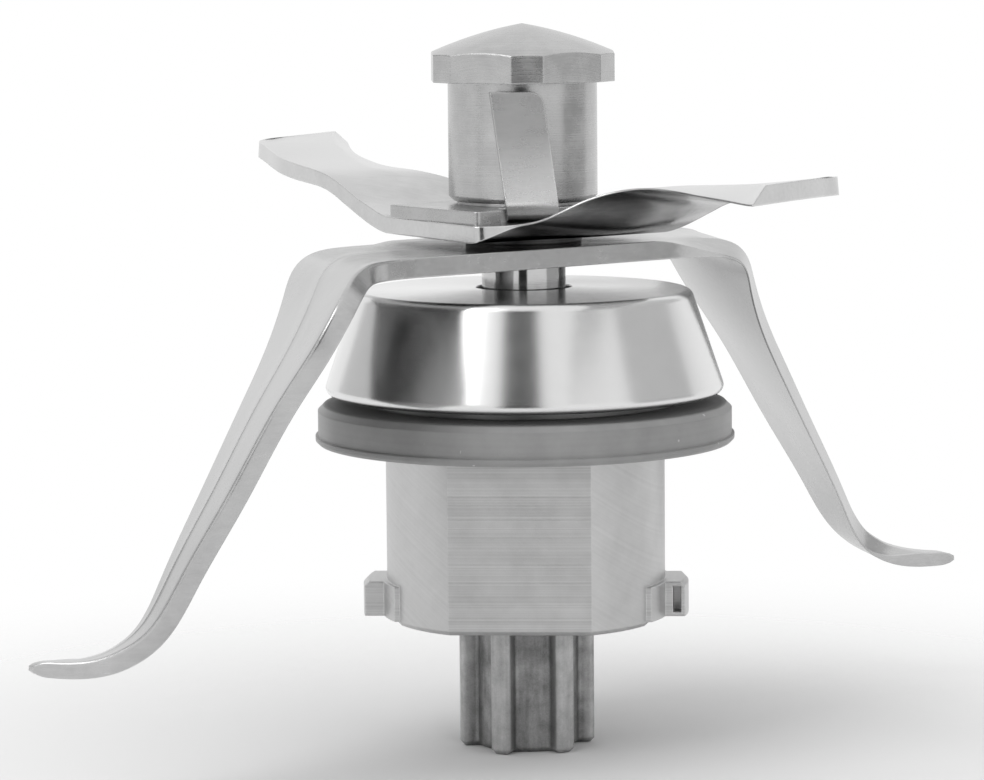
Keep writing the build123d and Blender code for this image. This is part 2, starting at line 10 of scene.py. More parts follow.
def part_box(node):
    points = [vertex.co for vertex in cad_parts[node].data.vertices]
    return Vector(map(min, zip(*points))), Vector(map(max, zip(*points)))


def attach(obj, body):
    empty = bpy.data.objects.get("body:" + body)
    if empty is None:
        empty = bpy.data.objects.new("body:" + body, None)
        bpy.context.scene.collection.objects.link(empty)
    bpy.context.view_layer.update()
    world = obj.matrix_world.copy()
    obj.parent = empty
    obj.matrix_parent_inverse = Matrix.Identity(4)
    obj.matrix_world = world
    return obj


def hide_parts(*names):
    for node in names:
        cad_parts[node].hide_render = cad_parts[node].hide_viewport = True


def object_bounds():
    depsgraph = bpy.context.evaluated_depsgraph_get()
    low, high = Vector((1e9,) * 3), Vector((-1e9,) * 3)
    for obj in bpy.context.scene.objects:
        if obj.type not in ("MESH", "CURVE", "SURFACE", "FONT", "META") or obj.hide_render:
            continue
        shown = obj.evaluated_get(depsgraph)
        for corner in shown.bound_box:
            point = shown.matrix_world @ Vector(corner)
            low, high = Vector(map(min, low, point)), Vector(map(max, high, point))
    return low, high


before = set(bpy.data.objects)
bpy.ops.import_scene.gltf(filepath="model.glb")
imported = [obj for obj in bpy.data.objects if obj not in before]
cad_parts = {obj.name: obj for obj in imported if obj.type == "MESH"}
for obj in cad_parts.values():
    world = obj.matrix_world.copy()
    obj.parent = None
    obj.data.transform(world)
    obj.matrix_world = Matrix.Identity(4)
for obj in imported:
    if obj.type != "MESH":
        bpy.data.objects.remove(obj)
cad_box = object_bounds()
scene = bpy.context.scene
MM = 0.001

# Camera of the photograph: angles in degrees, distances in metres, sensor in mm
FOCAL_PX = 3900.0
FRAME_WIDTH_PX = 984.0
AXIS_OFFSET_PX = 32.7
SENSOR_WIDTH = 36.0
CLIP_START = 0.01
CAMERA_DISTANCE = 0.37143
CAMERA_AZIMUTH = 3.0
CAMERA_PITCH = 6.7
CAMERA_ROLL = -0.45
CAMERA_TARGET = Vector((0.0, 0.0, 0.0341))

# Dark flags and grey screens that metal shows in the white studio: (azimuths from the front, -Y, and
# elevations in degrees, tone), with distances in metres
CARDS = {
    "flag_front": ((-11.0, 12.0), (-7.0, 44.0), 0.04),
    "flag_left": ((-72.5, -61.5), (4.0, 44.0), 0.05),
    "screen_right": ((68.0, 140.0), (14.0, 44.0), 0.75),
    "screen_right_low": ((68.0, 115.0), (-7.0, 14.0), 0.65),
    "screen_left": ((-132.0, -84.0), (4.0, 44.0), 0.85),
}
CARD_DISTANCE = 0.6
CARD_CENTRE = Vector((0.0, 0.0, 0.035))
CARD_STEPS = 16

# Light and floor, in metres and watts. The floor fades out between two shares of its radius
FILL = 0.75
KEY_PLACE = Vector((-0.5, -0.45, 0.75))
KEY_AIM = Vector((0.0, 0.0, 0.04))
KEY_SIZE = 0.6
KEY_POWER = 3.2
FLOOR_RADIUS = 0.13
FLOOR_FADE = (0.08, 0.8)
FLOOR_DROP = 0.00005
FLOOR_SIDES = 96
FLOOR_TONE = 0.9

# Heights in metres: tops of the seals, and the span over which the lock plate's tabs are painted paler
# towards their foot, as painted light
SEAL_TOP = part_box("seal_ring")[1][2]
LIP_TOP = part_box("shaft_lip_seal")[1][2]
TAB_FOOT = 0.0525
TAB_HEAD = 0.059
TAB_BEND = 0.0006

# Blades in mm, with the sheets on both sides of the spacer and the arms turned from X in degrees
SPACER_LOW, SPACER_HIGH = (corner[2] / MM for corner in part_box("blade_spacer"))
UPPER_SHEET = 1.6
UPPER_LEVEL = SPACER_HIGH
UPPER_TURN = 124.0
LOWER_SHEET = 1.8
LOWER_TIP_SHEET = 1.3
LOWER_LEVEL = SPACER_LOW - LOWER_SHEET
LOWER_TURN = 41.0
STUD_RADIUS = 3.0

# Edges of the arms: (along, aside, up) from the middle of the hub's underside, aside positive to the
# trailing side
UPPER_LEAD = (
    (8.2, -10.7, 0.0), (8.7, -10.7, 0.0), (10.3, -8.0, 0.05), (12.2, -4.9, 0.7), (14.0, -2.0, 2.35),
    (17.4, 0.9, 3.6), (22.0, 1.4, 3.95), (30.4, -0.7, 4.4), (40.0, -4.0, 5.05), (52.7, -9.75, 5.85),
)
UPPER_TRAIL = (
    (6.7, 10.7, 0.0), (7.2, 10.7, 0.0), (9.8, 10.7, 0.4), (14.0, 10.7, 1.7), (18.4, 10.7, 3.15),
    (24.0, 10.3, 3.85), (32.0, 9.3, 4.5), (40.0, 7.2, 5.4), (42.6, 6.15, 5.6), (44.0, 4.2, 5.75),
)
LOWER_LEAD = (
    (8.5, -9.05, 0.0), (9.0, -9.05, 0.0), (11.5, -9.15, 0.0), (14.6, -9.8, 0.0), (18.2, -10.3, -0.7),
    (20.4, -9.2, -3.3), (28.3, -4.5, -12.4), (35.2, -2.1, -20.6), (40.2, -1.2, -27.9), (43.1, -1.2, -32.1),
    (47.0, -2.2, -34.1), (52.4, -4.7, -34.2),
)
LOWER_TRAIL = (
    (16.5, 9.05, 0.0), (17.0, 9.05, 0.0), (20.0, 9.1, 0.0), (23.4, 9.9, 0.0), (27.5, 12.9, -0.3),
    (30.6, 15.3, -2.0), (32.8, 15.0, -5.4), (35.2, 12.6, -10.6), (38.7, 9.8, -18.6), (41.9, 7.0, -25.9),
    (44.5, 4.9, -31.1), (47.6, 2.0, -33.7), (52.4, -4.0, -34.2),
)

# Grinds in mm. Shares and the crest's start are of the arm's length, width shares of its width, and the
# facet share of the lower blade's facet
UPPER_EDGE = 0.15
UPPER_HOLLOW = 11.0
UPPER_HOLLOW_POWER = 1.3
UPPER_BEVEL = 3.2
UPPER_GROUND_SHARE = 0.1
UPPER_CREST_START = 0.12
UPPER_CREST_SHARE = 0.85
LOWER_BEVEL = 2.6
LOWER_BEVEL_DROP = 1.4
LOWER_BEVEL_FACET_SHARE = 0.6
LOWER_FACET = 0.25
LOWER_FACET_WIDTH_SHARE = 0.58
LOWER_ROUND = 0.3
LOWER_ROUND_WIDTH_SHARE = 0.1
LOWER_RIDGE = 0.06
LOWER_RIDGE_WIDTH = 0.16
LOWER_RIDGE_WIDTH_SHARE = 0.03
LOWER_GROUND_SHARE = 0.15
LOWER_PLAIN_WIDTH = 2.0
LOWER_FADE_WIDTH = 4.0
LOWER_NOSE_SHARE = 0.025
NOSE_SLIMMING = 0.9
TIP_SHARE = 0.15

# Mesh of the blades
ARM_STEPS = 140
HUB_STEPS = 10
UPPER_COLUMNS = 22
UPPER_CROWDING = 1.6
BEVEL_COLUMNS = 4
FACET_COLUMNS = 4
FLAT_COLUMNS = 7
ROUND_COLUMNS = 7
DRILL_SIDES = 64
DRILL_LENGTH = 10.0
SHARP_ANGLE = 22.0

# Materials: where most noise values lie, relief depth in metres, and the cosines between the rounded
# and the plain normal where the light of an edge starts and is full
NOISE_RANGE = (0.3, 0.7)
RELIEF_DEPTH = 0.0001
EDGE_RANGE = (0.99, 0.8)
EDGE_SAMPLES = 6

Place = namedtuple("Place", "x z radius across")
# Painted shade: the side it darkens, how dark, and the radii where it sets in and ends
PaintedShade = namedtuple("PaintedShade", "side dark start end")


class Graph:
    """Small helper that adds shader nodes and links them."""

    def __init__(self, tree):
        self.tree = tree
        self.tree.nodes.clear()

    def add(self, kind, **settings):
        node = self.tree.nodes.new(kind)
        for key, value in settings.items():
            setattr(node, key, value)
        return node

    def link(self, source, target):
        self.tree.links.new(source, target)

    def put(self, socket, value):
        if isinstance(value, bpy.types.NodeSocket):
            self.link(value, socket)
        else:
            socket.default_value = value

    def math(self, operation, a, b=0.0):
        node = self.add("ShaderNodeMath", operation=operation)
        self.put(node.inputs[0], a)
        self.put(node.inputs[1], b)
        return node.outputs[0]

    def times(self, a, b):
        return self.math("MULTIPLY", a, b)

    def total(self, first, *others):
        for other in others:
            first = self.math("ADD", first, other)
        return first

    def remap(self, value, low, high, to_low, to_high):
        node = self.add("ShaderNodeMapRange", clamp=True)
        self.link(value, node.inputs["Value"])
        node.inputs["From Min"].default_value = low
        node.inputs["From Max"].default_value = high
        node.inputs["To Min"].default_value = to_low
        node.inputs["To Max"].default_value = to_high
        return node.outputs["Result"]

    def swing(self, noise, low, high):
        """Noise stretched to run from low to high."""
        return self.remap(noise, *NOISE_RANGE, low, high)

    def noise(self, vector, scale, detail, roughness=0.55):
        node = self.add("ShaderNodeTexNoise")
        node.inputs["Scale"].default_value = scale
        node.inputs["Detail"].default_value = detail
        node.inputs["Roughness"].default_value = roughness
        self.link(vector, node.inputs["Vector"])
        return node.outputs["Fac"]

    def line_noise(self, value, scale, detail):
        node = self.add("ShaderNodeTexNoise", noise_dimensions="1D")
        node.inputs["Scale"].default_value = scale
        node.inputs["Detail"].default_value = detail
        self.link(value, node.inputs["W"])
        return node.outputs["Fac"]

    def stretch(self, vector, scale, turn=0.0):
        node = self.add("ShaderNodeMapping")
        node.inputs["Scale"].default_value = scale
        node.inputs["Rotation"].default_value = (0.0, 0.0, math.radians(turn))
        self.link(vector, node.inputs["Vector"])
        return node.outputs["Vector"]

    def mix(self, factor, a, b):
        node = self.add("ShaderNodeMix", data_type="FLOAT")
        self.put(node.inputs[0], factor)
        self.put(node.inputs[2], a)
        self.put(node.inputs[3], b)
        return node.outputs[0]

    def split(self, vector):
        node = self.add("ShaderNodeSeparateXYZ")
        self.link(vector, node.inputs["Vector"])
        return node.outputs

    def grey(self, tone):
        node = self.add("ShaderNodeCombineColor")
        for socket in node.inputs[:3]:
            self.link(tone, socket)
        return node.outputs["Color"]


def new_material(name):
    material = bpy.data.materials.new(name)
    material.use_nodes = True
    graph = Graph(material.node_tree)
    return material, graph, graph.add("ShaderNodeOutputMaterial")


def start_material(name):
    material, graph, output = new_material(name)
    shader = graph.add("ShaderNodeBsdfPrincipled")
    graph.link(shader.outputs["BSDF"], output.inputs["Surface"])
    coords = graph.add("ShaderNodeTexCoord")
    return material, graph, shader, coords.outputs


def polar(graph, spot):
    """Place on a turned piece: across is a value that runs across the turning marks of any face."""
    x, y, z = graph.split(spot)
    radius = graph.math("SQRT", graph.total(graph.times(x, x), graph.times(y, y)))
    return Place(x, z, radius, graph.total(z, radius))


def round_edges(graph, reach):
    """Normal of the surface with its edges rounded."""
    bevel = graph.add("ShaderNodeBevel", samples=EDGE_SAMPLES)
    bevel.inputs["Radius"].default_value = reach
    return bevel.outputs["Normal"]


def edge_mask(graph, rounded, soft, full):
    """0 where the rounded normal is the surface's own, up to 1 on edges."""
    geometry = graph.add("ShaderNodeNewGeometry")
    dot = graph.add("ShaderNodeVectorMath", operation="DOT_PRODUCT")
    graph.link(rounded, dot.inputs[0])
    graph.link(geometry.outputs["Normal"], dot.inputs[1])
    return graph.remap(dot.outputs["Value"], soft, full, 0.0, 1.0)


def finish(graph, shader, metallic, shade, rough, height, bump, rounded):
    graph.link(graph.grey(shade), shader.inputs["Base Color"])
    shader.inputs["Metallic"].default_value = metallic
    graph.link(rough, shader.inputs["Roughness"])
    relief = graph.add("ShaderNodeBump")
    relief.inputs["Strength"].default_value = bump
    relief.inputs["Distance"].default_value = RELIEF_DEPTH
    graph.link(height, relief.inputs["Height"])
    graph.link(rounded, relief.inputs["Normal"])
    graph.link(relief.outputs["Normal"], shader.inputs["Normal"])


# Turned metal: noise scales per metre, sizes in metres, the rest as shares
TURNED_MARKS = 9000.0
TURNED_MARK_ROUGHNESS = 0.06
TURNED_CLOUD = 420.0
TURNED_GRAIN = 5200.0
TURNED_GRAIN_SHARE = 0.6
TURNED_EDGE = 0.00022
TURNED_EDGE_LIGHT = 0.08
TURNED_GLOSS_TURN = 0.25


def turned_metal(name, tone, roughness, mark=0.5, mottle=0.06, bump=0.06, aniso=0.0, vary=0.05):
    """Lathe-turned metal: fine marks round the axis, cloudy tone, brighter worn edges."""
    material, graph, shader, coords = start_material(name)
    spot = coords["Object"]
    marks = graph.line_noise(polar(graph, spot).across, TURNED_MARKS, detail=3.0)
    cloud = graph.noise(spot, TURNED_CLOUD, detail=5.0)
    grain = graph.noise(spot, TURNED_GRAIN, detail=3.0)
    rounded = round_edges(graph, TURNED_EDGE)
    edge = edge_mask(graph, rounded, *EDGE_RANGE)
    spread = graph.total(graph.swing(marks, -mark, mark), graph.swing(cloud, -1.0, 1.0))
    shade = graph.total(graph.times(spread, mottle), tone, graph.times(edge, TURNED_EDGE_LIGHT))
    mark_rough = TURNED_MARK_ROUGHNESS * mark
    rough = graph.total(
        graph.swing(cloud, roughness - vary, roughness + vary), graph.swing(marks, -mark_rough, mark_rough)
    )
    height = graph.total(marks, graph.times(grain, TURNED_GRAIN_SHARE))
    finish(graph, shader, 1.0, shade, rough, height, bump, rounded)
    if aniso:
        shader.inputs["Anisotropic"].default_value = aniso
        shader.inputs["Anisotropic Rotation"].default_value = TURNED_GLOSS_TURN
        tangent = graph.add("ShaderNodeTangent", direction_type="RADIAL", axis="Z")
        graph.link(tangent.outputs["Tangent"], shader.inputs["Tangent"])
    return material


# Sheet metal: noise scales per metre, sizes in metres, the rest as shares
SHEET_GRAIN = (60.0, 2600.0, 2600.0)
SHEET_GRAIN_TONE = 0.6
SHEET_GRAIN_ROUGHNESS = 0.03
SHEET_CLOUD = 260.0
SHEET_CLOUD_ROUGHNESS = (-0.025, 0.03)
SHEET_PITS = 3600.0
SHEET_PIT_SHARE = 0.8
SHEET_MOTTLE = 0.035
SHEET_BUMP = 0.04
SHEET_EDGE = 0.0002
SHEET_EDGE_RANGE = (0.999, 0.965)
SHEET_EDGE_LIGHT = 0.14
# Facing of the side that gets painted shade
SHADE_FACING = (0.2, 0.5)


def sheet_metal(name, tone, roughness, turn, painted_shades=(), painted_foot_light=0.0):
    """Rolled sheet: long fine grain along one direction, small pits, paler ground edges.

    Each painted shade darkens the upper (1) or lower (-1) side where shade falls, setting in over one pair
    of radii and ending over another. turn is in degrees, from the grain to X.
    The last argument is painted light: how much paler the foot of an upright tab is painted than its top.
    """
    material, graph, shader, coords = start_material(name)
    spot = coords["Object"]
    place = polar(graph, spot)
    upward = graph.split(coords["Normal"])["Z"]
    grain = graph.noise(graph.stretch(spot, SHEET_GRAIN, turn), 1.0, detail=4.0, roughness=0.6)
    cloud = graph.noise(spot, SHEET_CLOUD, detail=5.0)
    pits = graph.noise(spot, SHEET_PITS, detail=2.0)
    rounded = round_edges(graph, SHEET_EDGE)
    edge = edge_mask(graph, rounded, *SHEET_EDGE_RANGE)
    spread = graph.total(
        graph.swing(grain, -SHEET_GRAIN_TONE, SHEET_GRAIN_TONE), graph.swing(cloud, -1.0, 1.0)
    )
    shade = graph.total(graph.times(spread, SHEET_MOTTLE), tone, graph.times(edge, SHEET_EDGE_LIGHT))
    # Painted light: an upright tab is painted paler towards its foot and darker towards its top
    if painted_foot_light:
        upright = graph.remap(place.z, TAB_FOOT - TAB_BEND, TAB_FOOT, 0.0, 1.0)
        foot_light_ramp = graph.remap(place.z, TAB_FOOT, TAB_HEAD, painted_foot_light, 0.0)
        shade = graph.total(shade, graph.times(upright, foot_light_ramp))
    # Painted shade: one side of the sheet is painted darker between two pairs of radii
    for shade_patch in painted_shades:
        inside = graph.remap(place.radius, *shade_patch.start, 0.0, 1.0)
        outside = graph.remap(place.radius, *shade_patch.end, 1.0, 0.0)
        turned = graph.remap(graph.times(upward, shade_patch.side), *SHADE_FACING, 0.0, 1.0)
        painted_dark = graph.times(graph.times(inside, outside), turned)
        shade = graph.times(shade, graph.remap(painted_dark, 0.0, 1.0, 1.0, shade_patch.dark))
    low_rough, high_rough = (roughness + change for change in SHEET_CLOUD_ROUGHNESS)
    rough = graph.total(
        graph.swing(cloud, low_rough, high_rough),
        graph.swing(grain, -SHEET_GRAIN_ROUGHNESS, SHEET_GRAIN_ROUGHNESS),
    )
    height = graph.total(grain, graph.times(pits, SHEET_PIT_SHARE))
    finish(graph, shader, 1.0, shade, rough, height, SHEET_BUMP, rounded)
    return material


# Milled metal: noise scales per metre, sizes in metres, the rest as shares
MILLED_LINES = 5200.0
MILLED_BANDS = 520.0
MILLED_BAND_TONE = 0.5
MILLED_SLANT = 2600.0
MILLED_SLANT_SLOPE = 0.75
MILLED_SLANT_RANGE = (0.32, 0.68)
MILLED_FLAT_FACING = (0.985, 0.998)
MILLED_MARK_TONE = 0.9
MILLED_MARK_ROUGHNESS = 0.04
MILLED_CLOUD = 380.0
MILLED_CLOUD_TONE = 0.7
MILLED_CLOUD_ROUGHNESS = (-0.04, 0.05)
MILLED_GRAIN = 4600.0
MILLED_GRAIN_SHARE = 0.5
MILLED_MOTTLE = 0.055
MILLED_BUMP = 0.12
MILLED_EDGE = 0.0002
MILLED_EDGE_LIGHT = 0.1
# Painted shade on the housing above the seal's top, in the groove under the bell: its tone and blend height
GROOVE_SHADE_TONE = 0.6
GROOVE_BLEND = 0.0002


def milled_metal(name, tone, roughness):
    """Milled flats with level cutter lines, turned sides with faint slanting marks, painted shade above the
    seal's top.
    """
    material, graph, shader, coords = start_material(name)
    spot = coords["Object"]
    place = polar(graph, spot)
    level = graph.line_noise(place.z, MILLED_LINES, detail=4.0)
    band = graph.line_noise(place.z, MILLED_BANDS, detail=2.0)
    slant_axis = graph.total(graph.times(place.x, MILLED_SLANT_SLOPE), place.z)
    slant = graph.line_noise(slant_axis, MILLED_SLANT, detail=3.0)
    sideways = graph.math("ABSOLUTE", graph.split(coords["Normal"])["Y"])
    flat = graph.remap(sideways, *MILLED_FLAT_FACING, 0.0, 1.0)
    marks = graph.mix(flat, graph.remap(slant, 0.0, 1.0, *MILLED_SLANT_RANGE), level)
    cloud = graph.noise(spot, MILLED_CLOUD, detail=5.0)
    grain = graph.noise(spot, MILLED_GRAIN, detail=3.0)
    rounded = round_edges(graph, MILLED_EDGE)
    edge = edge_mask(graph, rounded, *EDGE_RANGE)
    spread = graph.total(
        graph.swing(marks, -MILLED_MARK_TONE, MILLED_MARK_TONE),
        graph.swing(cloud, -MILLED_CLOUD_TONE, MILLED_CLOUD_TONE),
        graph.times(graph.swing(band, -MILLED_BAND_TONE, MILLED_BAND_TONE), flat),
    )
    shade = graph.total(graph.times(spread, MILLED_MOTTLE), tone, graph.times(edge, MILLED_EDGE_LIGHT))
    # Painted shade: every face above the seal's top is painted darker
    shade = graph.times(shade, graph.remap(place.z, SEAL_TOP - GROOVE_BLEND, SEAL_TOP, 1.0, GROOVE_SHADE_TONE))
    low_rough, high_rough = (roughness + change for change in MILLED_CLOUD_ROUGHNESS)
    rough = graph.total(
        graph.swing(cloud, low_rough, high_rough),
        graph.swing(marks, -MILLED_MARK_ROUGHNESS, MILLED_MARK_ROUGHNESS),
    )
    height = graph.total(marks, graph.times(grain, MILLED_GRAIN_SHARE))
    finish(graph, shader, 1.0, shade, rough, height, MILLED_BUMP, rounded)
    return material


# Sintered metal: noise scales per metre, sizes in metres, the rest as shares
SINTER_CLOUD = 520.0
SINTER_CLOUD_ROUGHNESS = 0.08
SINTER_GRAIN = 6500.0
SINTER_GRAIN_TONE = 0.035
SINTER_DRAWN = (1500.0, 1500.0, 160.0)
SINTER_DRAWN_RANGE = (0.35, 0.65)
SINTER_DRAWN_TONE = 0.3
# Radii over which the tone grows paler outward, and by how much
SINTER_PALE_RADII = (0.0054, 0.0061)
SINTER_PALENESS = 0.18
SINTER_BUMP = 0.25
SINTER_EDGE = 0.0003
SINTER_EDGE_LIGHT = 0.1


def sintered_metal(name, dark, light, roughness):
    """Pressed and sintered steel: cloudy grey, fine grain, paler further from the axis, rubbed edges."""
    material, graph, shader, coords = start_material(name)
    spot = coords["Object"]
    cloud = graph.noise(spot, SINTER_CLOUD, detail=6.0, roughness=0.65)
    grain = graph.noise(spot, SINTER_GRAIN, detail=4.0, roughness=0.7)
    drawn = graph.noise(graph.stretch(spot, SINTER_DRAWN), 1.0, detail=3.0)
    rounded = round_edges(graph, SINTER_EDGE)
    edge = edge_mask(graph, rounded, *EDGE_RANGE)
    spread = graph.total(
        graph.swing(cloud, 0.0, 1.0),
        graph.remap(drawn, *SINTER_DRAWN_RANGE, -SINTER_DRAWN_TONE, SINTER_DRAWN_TONE),
    )
    # The tone grows paler further from the axis
    shade = graph.total(
        graph.times(spread, light - dark),
        dark,
        graph.remap(polar(graph, spot).radius, *SINTER_PALE_RADII, 0.0, SINTER_PALENESS),
        graph.swing(grain, -SINTER_GRAIN_TONE, SINTER_GRAIN_TONE),
        graph.times(edge, SINTER_EDGE_LIGHT),
    )
    rough = graph.swing(cloud, roughness + SINTER_CLOUD_ROUGHNESS, roughness - SINTER_CLOUD_ROUGHNESS)
    finish(graph, shader, 1.0, shade, rough, graph.total(grain, drawn), SINTER_BUMP, rounded)
    return material


# Rubber: noise scales per metre, sizes in metres, the rest as shares
RUBBER_LINES = 2600.0
RUBBER_LINE_TONE = 0.2
RUBBER_CLOUD = 300.0
RUBBER_CLOUD_ROUGHNESS = (-0.06, 0.08)
RUBBER_GRAIN = 7000.0
RUBBER_SPECKS = 1500.0
RUBBER_SPECK_RANGE = (0.76, 0.8)
RUBBER_SPECK_LIGHT = 0.25
RUBBER_MOTTLE = 0.1
RUBBER_BUMP = 0.15
RUBBER_EDGE = 0.00025
RUBBER_GLOSS = 0.5
RUBBER_SHEEN = 0.25
RUBBER_SHEEN_ROUGHNESS = 0.4
# Painted shade on the top face under the bell's rim: depths below the top and radii where it sets in, its
# tone and added roughness
SHADE_PAINT_DEPTHS = (0.0001, 0.00002)
SHADE_PAINT_RADII = (0.0187, 0.0194)
SHADE_PAINT_TONE = 0.4
SHADE_PAINT_ROUGHNESS = 0.4


def rubber(name, tone, roughness, top):
    """Moulded rubber: matte, faint level flow lines, dust specks, painted shade on its top face."""
    material, graph, shader, coords = start_material(name)
    spot = coords["Object"]
    place = polar(graph, spot)
    lines = graph.line_noise(place.across, RUBBER_LINES, detail=3.0)
    cloud = graph.noise(spot, RUBBER_CLOUD, detail=5.0)
    grain = graph.noise(spot, RUBBER_GRAIN, detail=3.0)
    specks = graph.remap(graph.noise(spot, RUBBER_SPECKS, detail=1.0), *RUBBER_SPECK_RANGE, 0.0, 1.0)
    spread = graph.total(
        graph.swing(lines, -RUBBER_LINE_TONE, RUBBER_LINE_TONE), graph.swing(cloud, -1.0, 1.0)
    )
    shade = graph.total(
        graph.times(spread, RUBBER_MOTTLE * tone), tone, graph.times(specks, RUBBER_SPECK_LIGHT)
    )
    # Painted shade: the top face inside a given radius is painted darker and made rougher
    top_shade_low, top_shade_high = (top - depth for depth in SHADE_PAINT_DEPTHS)
    top_shade_mask = graph.times(
        graph.remap(place.z, top_shade_low, top_shade_high, 0.0, 1.0),
        graph.remap(place.radius, *SHADE_PAINT_RADII, 1.0, 0.0),
    )
    shade = graph.times(shade, graph.remap(top_shade_mask, 0.0, 1.0, 1.0, SHADE_PAINT_TONE))
    shader.inputs["Specular IOR Level"].default_value = RUBBER_GLOSS
    shader.inputs["Sheen Weight"].default_value = RUBBER_SHEEN
    shader.inputs["Sheen Roughness"].default_value = RUBBER_SHEEN_ROUGHNESS
    low_rough, high_rough = (roughness + change for change in RUBBER_CLOUD_ROUGHNESS)
    rough = graph.total(graph.swing(cloud, low_rough, high_rough), graph.times(top_shade_mask, SHADE_PAINT_ROUGHNESS))
    rounded = round_edges(graph, RUBBER_EDGE)
    finish(graph, shader, 0.0, shade, rough, graph.total(grain, lines), RUBBER_BUMP, rounded)
    return material


# Materials of the pieces
# Painted shade: near the hub between the two blades, and on the lower blade's underside at its bends
LOWER_HUB_SHADE = PaintedShade(side=1.0, dark=0.2, start=(0.0, 0.001), end=(0.0085, 0.0145))
LOWER_BEND_SHADE = PaintedShade(side=-1.0, dark=0.42, start=(0.017, 0.02), end=(0.023, 0.035))
UPPER_HUB_SHADE = PaintedShade(side=-1.0, dark=0.22, start=(0.0, 0.001), end=(0.011, 0.0185))
BLADE_LOWER = sheet_metal(
    "lower_blade_steel",
    tone=0.49,
    roughness=0.24,
    turn=-LOWER_TURN,
    painted_shades=(LOWER_HUB_SHADE, LOWER_BEND_SHADE),
)
BLADE_UPPER = sheet_metal(
    "upper_blade_steel", tone=0.55, roughness=0.2, turn=-UPPER_TURN, painted_shades=(UPPER_HUB_SHADE,)
)
# The lock plate's tabs carry painted light: paler towards their foot
PLATE = sheet_metal("plate_steel", tone=0.44, roughness=0.28, turn=-40.0, painted_foot_light=0.36)
NUT = turned_metal("nut_steel", tone=0.46, roughness=0.26, mottle=0.05)
HOUSING = milled_metal("housing_steel", tone=0.56, roughness=0.42)
BELL = turned_metal(
    "bell_steel", tone=0.73, roughness=0.24, mark=0.15, mottle=0.012, bump=0.001, aniso=0.6, vary=0.012
)
SHAFT = turned_metal("shaft_steel", tone=0.52, roughness=0.06, mark=0.3, mottle=0.03, bump=0.02)
COUPLING = sintered_metal("coupling_steel", dark=0.2, light=0.34, roughness=0.46)
SEAL = rubber("seal_rubber", tone=0.33, roughness=0.55, top=SEAL_TOP)
LIP = rubber("lip_rubber", tone=0.03, roughness=0.5, top=LIP_TOP)
BEARING = turned_metal("bearing_steel", tone=0.62, roughness=0.2, mark=0.3, mottle=0.03, bump=0.02)
BALL = turned_metal("ball_steel", tone=0.74, roughness=0.08, mark=0.1, mottle=0.02, bump=0.005)
CAGE = turned_metal("cage_steel", tone=0.5, roughness=0.36)
SHIELD = turned_metal("shield_steel", tone=0.56, roughness=0.34)
SLEEVE = turned_metal("sleeve_steel", tone=0.54, roughness=0.38)
CLIP = turned_metal("clip_steel", tone=0.18, roughness=0.45)
WASHER = turned_metal("washer_steel", tone=0.14, roughness=0.45)

DRESSING = {
    "bearing_housing": HOUSING,
    "bell_cover": BELL,
    "seal_ring": SEAL,
    "shaft_lip_seal": LIP,
    "outer_spacer_sleeve": SLEEVE,
    "inner_spacer_sleeve": SLEEVE,
    "bore_retaining_ring": CLIP,
    "upper_shaft_ring": CLIP,
    "lower_shaft_ring": CLIP,
    "drive_shaft": SHAFT,
    "drive_coupling": COUPLING,
    "lower_blade": BLADE_LOWER,
    "upper_blade": BLADE_UPPER,
    "blade_spacer": WASHER,
    "lock_plate": PLATE,
    "cap_nut": NUT,
}
for side in ("upper", "lower"):
    DRESSING[side + "_bearing_outer_ring"] = BEARING
    DRESSING[side + "_bearing_inner_ring"] = BEARING
    DRESSING[side + "_bearing_shield"] = SHIELD
    DRESSING[side + "_bearing_cage"] = CAGE
    DRESSING[side + "_bearing_balls"] = BALL


def dress():
    for node, material in DRESSING.items():
        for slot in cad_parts[node].material_slots:
            slot.material = material


def smooth(value):
    value = min(1.0, max(0.0, value))
    return value * value * (3.0 - 2.0 * value)


def falling(place, width):
    """1 at the edge, 0 from the given width on."""
    return max(0.0, 1.0 - place / width)


def spline(points, steps):
    """Natural cubic spline through the points, at even steps of its chord length."""
    points = np.array(points)
    gaps = np.linalg.norm(np.diff(points, axis=0), axis=1)
    places = np.concatenate(([0.0], np.cumsum(gaps)))
    count = len(points)
    matrix = np.eye(count)
    right = np.zeros((count, 3))
    for i in range(1, count - 1):
        matrix[i, i - 1:i + 2] = gaps[i - 1], 2.0 * (gaps[i - 1] + gaps[i]), gaps[i]
        right[i] = 6.0 * ((points[i + 1] - points[i]) / gaps[i] - (points[i] - points[i - 1]) / gaps[i - 1])
    bend = np.linalg.solve(matrix, right)
    line = []
    for at in np.linspace(0.0, places[-1], steps + 1):
        i = min(int(np.searchsorted(places, at, side="right")) - 1, count - 2)
        gap = gaps[i]
        before = at - places[i]
        after = places[i + 1] - at
        curved = (bend[i] * after ** 3 + bend[i + 1] * before ** 3) / (6.0 * gap)
        start = points[i] / gap - bend[i] * gap / 6.0
        end = points[i + 1] / gap - bend[i + 1] * gap / 6.0
        line.append(curved + start * after + end * before)
    return np.array(line)


def upper_columns(width):
    return width * np.linspace(0.0, 1.0, UPPER_COLUMNS + 1) ** UPPER_CROWDING


def upper_profile(at, place, width, thick):
    """Hollow ground from below by the hub, bevelled from above by the tip."""
    ground = smooth(at / UPPER_GROUND_SHARE)
    high = (1.0 - smooth((at - UPPER_CREST_START) / UPPER_CREST_SHARE)) * (thick - UPPER_EDGE)
    low = high * ground * falling(place, UPPER_HOLLOW) ** UPPER_HOLLOW_POWER
    top = thick - (thick - UPPER_EDGE - high) * ground * falling(place, UPPER_BEVEL)
    return low, top


